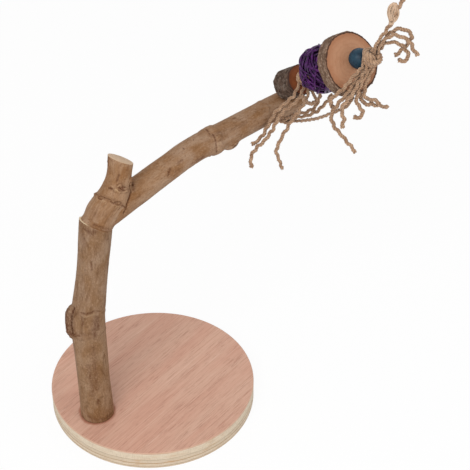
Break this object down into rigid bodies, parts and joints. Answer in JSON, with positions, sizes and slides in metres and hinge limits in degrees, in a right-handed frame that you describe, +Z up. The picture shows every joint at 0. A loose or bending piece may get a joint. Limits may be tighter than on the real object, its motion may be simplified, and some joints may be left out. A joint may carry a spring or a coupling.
{
  "type": "bird perch stand",
  "caption": "Table perch for a small parrot: forked branch on an upright branch and a round plywood base, with a chew toy of wood and wound vine threaded on jute",
  "frame": {"origin": "middle of the base board's underside", "axes": "+Z up, +X from the post across the base along the perch, +Y away from the side the toy leans to"},
  "size_m": [0.2825, 0.2126, 0.3845],
  "materials": {
    "plywood": "bare sanded veneer",
    "steel": "zinc plated",
    "post_bark": "smooth peeled bark",
    "dowel_wood": "bare turned wood",
    "fork_bark": "smooth peeled bark",
    "jute": "twisted jute",
    "log_bark": "rough bark, sawn ends",
    "dyed_vine": "dyed vine",
    "slice_wood": "sawn face, bark edge",
    "blue_stain": "blue stain"
  },
  "bodies": {
    "stand": {"base_board": "plywood", "post_screw": "steel", "post": "post_bark", "elbow_dowel": "dowel_wood", "fork_arm": "fork_bark", "core_cord": "jute", "rear_knot": "jute", "mid_knot": "jute", "front_knot": "jute", "plume_tip": "jute", "tassel_end_1": "jute", "tassel_end_2": "jute", "tassel_end_3": "jute", "tassel_end_4": "jute", "tassel_end_5": "jute", "tassel_end_6": "jute", "link_end": "jute", "plume_end_1": "jute", "plume_end_2": "jute", "plume_end_3": "jute", "plume_end_4": "jute", "mid_end_1": "jute", "mid_end_2": "jute", "mid_end_3": "jute", "mid_end_4": "jute", "rear_end_1": "jute", "rear_end_2": "jute"},
    "log_body": {"log_spacer": "log_bark"},
    "ball_body": {"vine_ball": "dyed_vine"},
    "slice_body": {"wood_slice": "slice_wood"},
    "bead_body": {"bead": "blue_stain"}
  },
  "joints": [
    {"name": "log_spin", "type": "hinge", "parent": "stand", "child": "log_body", "pos_m": [0.1544, -0.00938, 0.2699], "axis": [0, -0.7934, 0.6088], "continuous": true},
    {"name": "ball_spin", "type": "hinge", "parent": "stand", "child": "ball_body", "pos_m": [0.1544, -0.04351, 0.29836], "axis": [0, -0.7934, 0.6088], "continuous": true},
    {"name": "slice_spin", "type": "hinge", "parent": "stand", "child": "slice_body", "pos_m": [0.1544, -0.06936, 0.31592], "axis": [0, -0.7934, 0.6088], "continuous": true},
    {"name": "bead_spin", "type": "hinge", "parent": "stand", "child": "bead_body", "pos_m": [0.1544, -0.0819, 0.32554], "axis": [0, -0.7934, 0.6088], "continuous": true}
  ]
}
